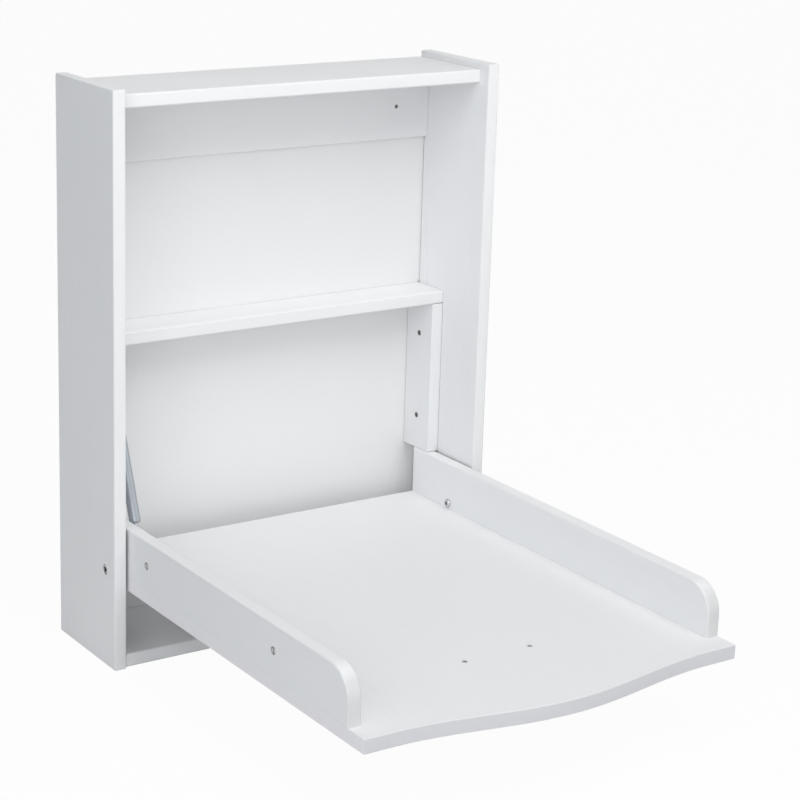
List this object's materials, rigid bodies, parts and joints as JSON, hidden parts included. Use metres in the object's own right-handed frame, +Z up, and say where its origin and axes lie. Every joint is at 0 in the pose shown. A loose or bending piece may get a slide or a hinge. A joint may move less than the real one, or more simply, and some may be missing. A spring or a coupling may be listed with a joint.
{
  "type": "baby changing station",
  "caption": "Wall-hung fold-down baby changing station: shallow white board cabinet with a shelf, and a railed changing tray that folds up on side pivots with a gas strut.",
  "frame": {"origin": "middle of the bottom panel's rear edge, on the wall plane", "axes": "+X to the right seen from the front, +Y into the wall, +Z up"},
  "size_m": [0.58, 0.739, 0.755],
  "materials": {
    "white_lacquer": "satin white lacquer on board",
    "thin_board": "white-faced thin board",
    "zinc_steel": "bright zinc plate",
    "dark_steel": "dull dark plate",
    "nylon": "natural nylon",
    "beech": "bare turned beech",
    "strut_grey": "satin grey paint",
    "chrome": "polished",
    "satin_nickel": "satin nickel"
  },
  "bodies": {
    "cabinet": {"left_side_panel": "white_lacquer", "right_side_panel": "white_lacquer", "top_panel": "white_lacquer", "bottom_panel": "white_lacquer", "back_panel": "thin_board", "hanging_rail": "white_lacquer", "middle_shelf": "white_lacquer", "left_batten": "white_lacquer", "right_batten": "white_lacquer", "left_batten_screw_lower": "zinc_steel", "left_batten_screw_upper": "zinc_steel", "right_batten_screw_lower": "zinc_steel", "right_batten_screw_upper": "zinc_steel", "top_left_cam_bolt": "zinc_steel", "top_right_cam_bolt": "zinc_steel", "bottom_left_cam_bolt": "zinc_steel", "bottom_right_cam_bolt": "zinc_steel", "top_left_cam_disc": "zinc_steel", "top_right_cam_disc": "zinc_steel", "bottom_left_cam_disc": "zinc_steel", "bottom_right_cam_disc": "zinc_steel", "top_left_dowel": "beech", "top_right_dowel": "beech", "bottom_left_dowel": "beech", "bottom_right_dowel": "beech", "left_hanging_rail_dowel_lower": "beech", "left_hanging_rail_dowel_upper": "beech", "right_hanging_rail_dowel_lower": "beech", "right_hanging_rail_dowel_upper": "beech", "left_shelf_dowel": "beech", "right_shelf_dowel": "beech", "left_pivot_sleeve": "zinc_steel", "right_pivot_sleeve": "zinc_steel", "left_pivot_screw": "zinc_steel", "right_pivot_screw": "zinc_steel", "upper_ball_stud": "dark_steel"},
    "tray": {"tray_board": "white_lacquer", "left_rail": "white_lacquer", "right_rail": "white_lacquer", "left_pivot_bush": "nylon", "right_pivot_bush": "nylon", "left_barrel_nut_rear": "zinc_steel", "left_barrel_nut_front": "zinc_steel", "right_barrel_nut_rear": "zinc_steel", "right_barrel_nut_front": "zinc_steel", "left_rail_bolt_rear": "zinc_steel", "left_rail_bolt_front": "zinc_steel", "right_rail_bolt_rear": "zinc_steel", "right_rail_bolt_front": "zinc_steel", "handle": "satin_nickel", "left_handle_screw": "zinc_steel", "right_handle_screw": "zinc_steel", "lower_ball_stud": "dark_steel"},
    "strut_cylinder": {"strut_tube": "strut_grey", "strut_rod_guide": "dark_steel", "strut_upper_socket": "dark_steel"},
    "strut_plunger": {"strut_rod": "chrome", "strut_piston": "dark_steel", "strut_lower_socket": "dark_steel"}
  },
  "joints": [
    {"name": "tray_fold", "type": "hinge", "parent": "cabinet", "child": "tray", "pos_m": [0, -0.134, 0.123], "axis": [-1, 0, 0], "range_deg": [0, 90]},
    {"name": "cylinder_swing", "type": "hinge", "parent": "cabinet", "child": "strut_cylinder", "pos_m": [-0.242, -0.05, 0.371], "axis": [1, 0, 0], "range_deg": [0, 5.17]},
    {"name": "rod_swing", "type": "hinge", "parent": "tray", "child": "strut_plunger", "pos_m": [-0.242, -0.14109, 0.13735], "axis": [1, 0, 0], "range_deg": [0, 95.17]}
  ],
  "couplings": [
    {"joint": "cylinder_swing", "follows": "tray_fold", "ratio": 0.05746},
    {"joint": "rod_swing", "follows": "tray_fold", "ratio": 1.0575}
  ]
}
